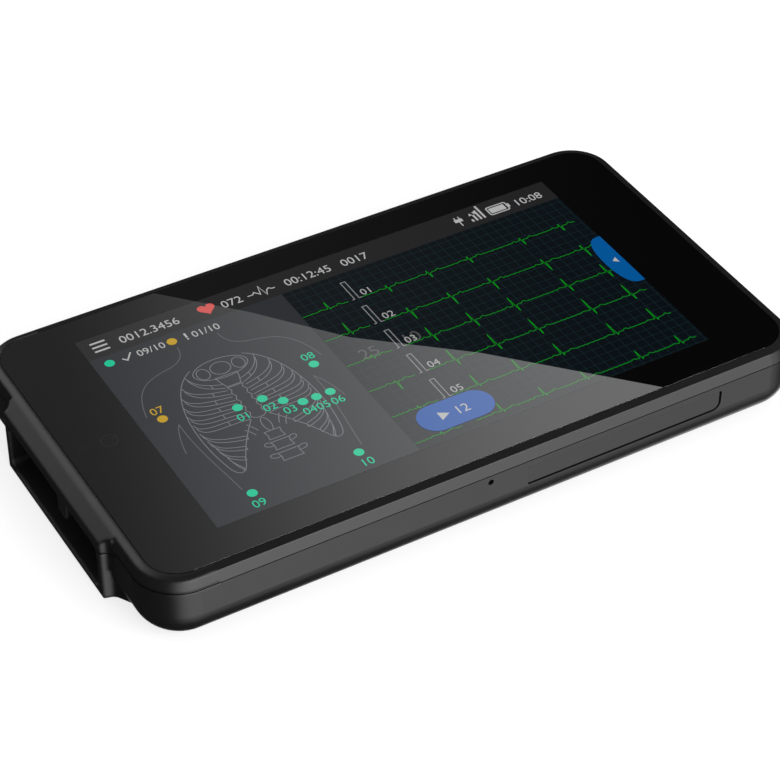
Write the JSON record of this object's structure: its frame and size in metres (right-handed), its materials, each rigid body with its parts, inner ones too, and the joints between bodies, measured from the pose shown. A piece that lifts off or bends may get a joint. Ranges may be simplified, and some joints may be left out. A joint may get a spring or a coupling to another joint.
{
  "type": "ecg home monitor",
  "caption": "Handheld ECG home monitor: a flat casing under a cover glass with a lit touch screen, a hooded lead socket at one end, a hinged port cover, a power button and a reset pinhole.",
  "frame": {"origin": "centre of the casing on its flat back", "axes": "+Z out of the screen, -X towards the lead socket's hood, -Y towards the port cover, +Y towards the power button"},
  "size_m": [0.1485, 0.0828, 0.0165],
  "materials": {
    "front_housing": "satin dark grey",
    "rear_housing": "satin dark grey",
    "cover_glass": "polished",
    "adhesive": "black foam",
    "display_cell": "lit display",
    "backlight_unit": "white film",
    "sheet_metal": "stamped sheet",
    "flex": "amber film",
    "black_plastic": "moulded",
    "camera": "dark lens",
    "connector_metal": "nickel plated",
    "contacts": "gold plated",
    "screws": "dark plated",
    "circuit_board": "green solder mask",
    "battery": "laminated foil",
    "soft_cover": "matt",
    "button": "satin",
    "speaker": "moulded"
  },
  "bodies": {
    "casing": {"front_housing": "front_housing", "rear_housing": "rear_housing", "cover_glass": "cover_glass", "glass_tape": "adhesive", "display_cell": "display_cell", "backlight_unit": "backlight_unit", "display_frame": "sheet_metal", "display_flex": "flex", "display_connector": "black_plastic", "front_camera": "camera", "light_sensor": "camera", "connector_shell": "connector_metal", "connector_insulator": "black_plastic", "connector_contacts": "contacts", "connector_screws": "screws", "main_board": "circuit_board", "amplifier_shield": "sheet_metal", "processor_shield": "sheet_metal", "cellular_module": "sheet_metal", "usb_shell": "connector_metal", "usb_tongue": "black_plastic", "sim_socket": "connector_metal", "memory_socket": "connector_metal", "battery_pack": "battery", "battery_adhesive": "adhesive", "battery_lead": "flex", "battery_connector": "black_plastic", "cover_strap": "soft_cover", "power_switch": "black_plastic", "reset_switch": "black_plastic", "speaker": "speaker", "antenna_flex": "flex", "housing_screws": "screws"},
    "port_cover": {"port_cover": "soft_cover"},
    "power_button": {"power_button": "button", "power_plunger": "black_plastic"},
    "reset_plunger": {"reset_plunger": "black_plastic"}
  },
  "joints": [
    {"name": "port_cover_hinge", "type": "hinge", "parent": "casing", "child": "port_cover", "pos_m": [0.0065, -0.04115, 0.01018], "axis": [0, 0, 1], "range_deg": [-110, 0]},
    {"name": "power_button_slide", "type": "slide", "parent": "casing", "child": "power_button", "axis": [0, -1, 0], "range_m": [0, 0.0004], "stiffness_N_per_m": 1500, "springref_m": -0.0004},
    {"name": "reset_plunger_slide", "type": "slide", "parent": "casing", "child": "reset_plunger", "axis": [0, 1, 0], "range_m": [0, 0.00025], "stiffness_N_per_m": 1500, "springref_m": -0.0004}
  ]
}
